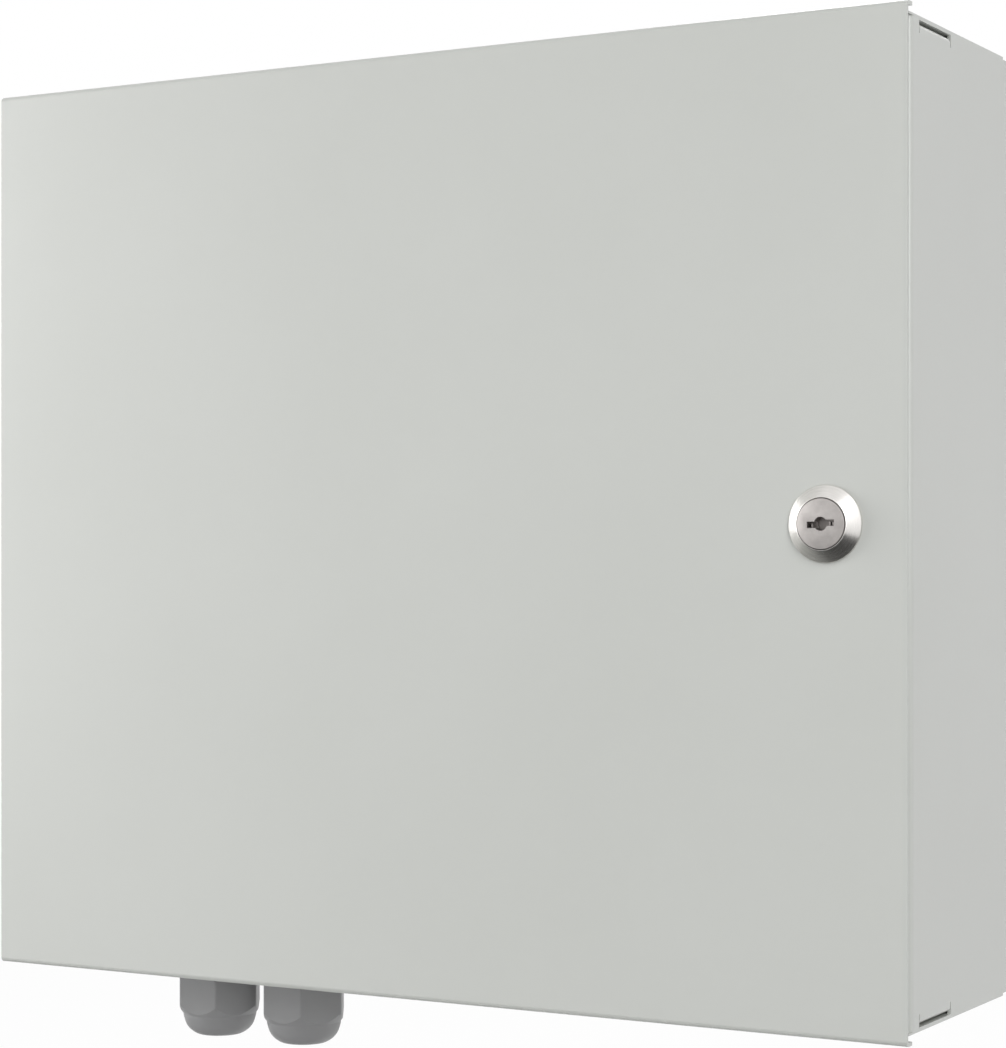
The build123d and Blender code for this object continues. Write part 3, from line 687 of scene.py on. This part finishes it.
# Cable glands: two mid-grey moulded glands in the bottom panel, each with a
# hexagon collar, a dome nut, a black rubber insert, a seal and a lock nut.
case_bottom = ends("housing_body", "z")[0]
gland_front, gland_back = ends("gland_bodies", "y")
gland_y = (gland_front + gland_back) / 2
gland_flats = gland_back - gland_front
gland_corner = gland_flats / 2 / math.cos(math.radians(30))
gland_low, gland_high = ends("gland_bodies", "x")
gland_left = round(gland_low + gland_corner, 1)
gland_right = round(gland_high - gland_corner, 1)
gland_bore = 7.5
insert_bore = 6.05
insert_groove = 6.5
hexagon_round = 0.5
back_nut_flats = 30.0
gland_thread_radius = 11.2
gland_thread_core = 10.4
gland_thread_pitch = 1.5
gland_thread_turns = 7
gland_tone = (0.295, 0.295, 0.299)
gland_light = (0.325, 0.325, 0.329)
rubber_tone = (0.02, 0.02, 0.02)
rubber_light = (0.035, 0.035, 0.035)


def moulded(name, tone, light, gloss=(0.38, 0.48), texture=0.3):
    """Moulded plastic: nearly even, with a very fine skin and soft flow marks."""
    finish = Finish(name)
    flow = finish.spread(finish.noise(scale=60.0, detail=3.0))
    skin = finish.noise(scale=2400.0)
    return finish.surface(
        Base_Color=finish.mix(flow, tone, light),
        Roughness=finish.spread(skin, *gloss),
        Normal=finish.bump(skin, distance=0.03 * MM, strength=texture),
    )


def hexagon(low, high, flats, turn):
    """Upright hexagon bar with rounded corners at the left gland, corners along X unless turned."""
    deselect()
    bpy.ops.mesh.primitive_cylinder_add(
        vertices=6,
        radius=flats / 2 / math.cos(math.radians(30)) * MM,
        depth=(high - low) * MM,
        location=(gland_left * MM, gland_y * MM, (case_bottom + (low + high) / 2) * MM),
        rotation=(0, 0, math.radians(30 + turn)),
    )
    obj = bpy.context.object
    bpy.ops.object.transform_apply(location=True, rotation=True, scale=True)
    bpy.ops.object.mode_set(mode="EDIT")
    pick_edges(obj, lambda edge: abs(edge.verts[0].co.z - edge.verts[1].co.z) > 0.1 * MM)
    bpy.ops.mesh.bevel(offset=hexagon_round * MM, segments=4)
    bpy.ops.object.mode_set(mode="OBJECT")
    return obj


gland_plastic = moulded("gland_plastic", gland_tone, gland_light)
gland_rubber = moulded("gland_rubber", rubber_tone, rubber_light, gloss=(0.6, 0.75), texture=0.6)

# radius and height over the case's bottom, all round each turned piece
dome_rings = (
    (gland_bore, -8.0),
    (gland_corner - 0.5, -8.0),
    (gland_corner, -8.4),
    (gland_corner, -17.3),
    (gland_corner - 0.2, -17.8),
    (13.3, -20.8),
    (12.9, -21.3),
    (12.85, -22.0),
    (12.65, -22.8),
    (12.4, -23.7),
    (12.05, -24.7),
    (11.6, -25.6),
    (11.0, -26.4),
    (10.3, -27.1),
    (9.5, -27.7),
    (8.7, -28.2),
    (8.0, -28.5),
    (7.6, -28.5),
    (gland_bore, -28.2),
    (gland_bore, -8.0),
)
thread_rings = []
for turn in range(gland_thread_turns):
    foot = 0.4 + turn * gland_thread_pitch
    thread_rings += [
        (gland_thread_radius, foot),
        (gland_thread_radius, foot + 0.3),
        (gland_thread_core, foot + 0.8),
        (gland_thread_core, foot + 1.0),
    ]
collar_rings = (
    (gland_bore, -7.6),
    (gland_corner - 1.4, -7.6),
    (gland_corner, -6.9),
    (gland_corner, -1.9),
    (gland_corner - 1.4, -1.2),
    (gland_thread_radius, -1.2),
    *thread_rings,
    (gland_thread_radius, 10.9),
    (gland_thread_radius, 11.6),
    (gland_thread_radius - 0.5, 12.2),
    (gland_bore, 12.2),
    (gland_bore, -7.6),
)
round_bar_rings = ((gland_thread_radius + 0.05, -2.0), (gland_thread_radius + 0.05, 13.0))
insert_rings = (
    (7.4, -17.6),
    (7.4, -2.0),
    (6.4, -2.0),
    (insert_bore, -2.6),
    (insert_bore, -5.0),
    (insert_groove, -6.0),
    (insert_groove, -7.4),
    (insert_bore, -8.4),
    (insert_bore, -10.8),
    (insert_groove, -11.8),
    (insert_groove, -13.2),
    (insert_bore, -14.2),
    (insert_bore, -17.0),
    (6.4, -17.6),
    (7.4, -17.6),
)
seal_rings = ((11.3, -1.1), (13.0, -1.1), (13.0, -0.1), (11.3, -0.1), (11.3, -1.1))
back_nut_rings = (
    (gland_thread_radius, 1.2),
    (15.9, 1.2),
    (17.3, 1.9),
    (17.3, 6.0),
    (15.9, 6.7),
    (gland_thread_radius, 6.7),
    (gland_thread_radius, 1.2),
)
# name, rings, hexagon (low, high, flats, turn), material, slot and the node that it stands for
gland_makes = (
    (
        "gland_nut", dome_rings, (-30.0, -7.0, gland_flats, 0.0),
        gland_plastic, "gland_plastic", "gland_dome_nuts",
    ),
    (
        "gland_collar", collar_rings, (-7.7, -1.1, gland_flats, 0.0),
        gland_plastic, "gland_plastic", "gland_bodies",
    ),
    ("gland_insert", insert_rings, None, gland_rubber, "gland_rubber", "gland_inserts"),
    ("gland_seal", seal_rings, None, gland_rubber, "gland_rubber", None),
    (
        "gland_back_nut", back_nut_rings, (1.0, 7.0, back_nut_flats, 30.0),
        gland_plastic, "gland_plastic", "gland_lock_nuts",
    ),
)
gland_centre = (gland_left, gland_y, case_bottom)
gland_shift = (gland_right - gland_left, 0, 0)
gland_pieces = []
for make, rings, outline, *_ in gland_makes:
    piece = turned(make + "_left", rings, gland_centre, around=128)
    if outline:
        shape = hexagon(*outline)
        if make == "gland_collar":
            # the hexagon bar goes on as a round one, so that the thread is kept whole
            join_shape(shape, turned("round_bar", round_bar_rings, gland_centre), "UNION")
        join_shape(piece, shape, "INTERSECT")
    gland_pieces.append(piece)
for piece in tuple(gland_pieces):
    gland_pieces.append(copied(piece, piece.name.replace("left", "right"), gland_shift))
for piece, (*_, material, slot_name, replaced) in zip(gland_pieces, gland_makes * 2):
    finish_piece(piece, material, "case")
    if replaced:
        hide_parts(replaced)


# Inside: a zinc-plated bracket for cable ties, hexagon spacers and studs with
# cap nuts, and a brass earth stud.
inside_edge = 0.2
brass_tone = (0.72, 0.53, 0.24)
brass_stained = (0.5, 0.36, 0.14)

for name in ("wall_studs", "tray_spacers"):
    dress(name, zinc, inside_edge)
dress("tie_bracket", zinc_sheet, inside_edge)

brass_finish = Finish("brass")
brass_stain = brass_finish.spread(brass_finish.noise(scale=300.0, detail=4.0))
brass = brass_finish.surface(
    Base_Color=brass_finish.mix(brass_stain, brass_stained, brass_tone),
    Metallic=1.0,
    Roughness=brass_finish.spread(brass_stain, 0.3, 0.42),
)
dress("earth_stud", brass, inside_edge)


# Splice tray: moulded light-grey tray with two spools, a black comb for the
# splice sleeves and a pale clear lid.
tray_tone = (0.5, 0.51, 0.5)
tray_light = (0.54, 0.55, 0.54)
tray_edge = 0.25
comb_tone = (0.02, 0.02, 0.022)
comb_light = (0.03, 0.03, 0.033)
comb_edge = 0.15
lid_tone = (0.66, 0.7, 0.71)
lid_light = (0.72, 0.75, 0.76)
lid_edge = 0.2

lid_finish = Finish("cover_plastic")
lid_flow = lid_finish.spread(lid_finish.noise(scale=30.0, detail=3.0))
lid_skin = lid_finish.noise(scale=1500.0)
lid_plastic = lid_finish.surface(
    Base_Color=lid_finish.mix(lid_flow, lid_tone, lid_light),
    Roughness=lid_finish.spread(lid_skin, 0.22, 0.3),
    Alpha=0.42,
    Normal=lid_finish.bump(lid_skin, distance=0.03 * MM, strength=0.3),
)
dress("splice_tray", moulded("tray_plastic", tray_tone, tray_light), tray_edge)
dress("splice_holder", moulded("comb_plastic", comb_tone, comb_light), comb_edge)
dress("tray_cover", lid_plastic, lid_edge)


# Patch shelf: folded sheet in the case's coat, with a row of twelve blue
# adapters and their soft white caps.
shelf_edge = 0.15
adapter_tone = (0.012, 0.075, 0.34)
adapter_light = (0.016, 0.09, 0.38)
adapter_edge = 0.25
cap_tone = (0.7, 0.7, 0.67)
cap_light = (0.76, 0.76, 0.73)
cap_edge = 0.5

dress("patch_plate", powder_coat("inner_coat"), shelf_edge)
adapter_plastic = moulded("adapter_plastic", adapter_tone, adapter_light, gloss=(0.28, 0.38))
dress("patch_adapters", adapter_plastic, adapter_edge)
cap_rubber = moulded("cap_rubber", cap_tone, cap_light, gloss=(0.5, 0.62), texture=0.5)
dress("dust_caps", cap_rubber, cap_edge)


# Slack guides: black moulded clips on the back wall that hold the spare
# turns of fibre, each open at the front.
guide_tone = (0.018, 0.018, 0.02)
guide_light = (0.028, 0.028, 0.03)
guide_edge = 0.3

dress("slack_guides", moulded("guide_plastic", guide_tone, guide_light), guide_edge)
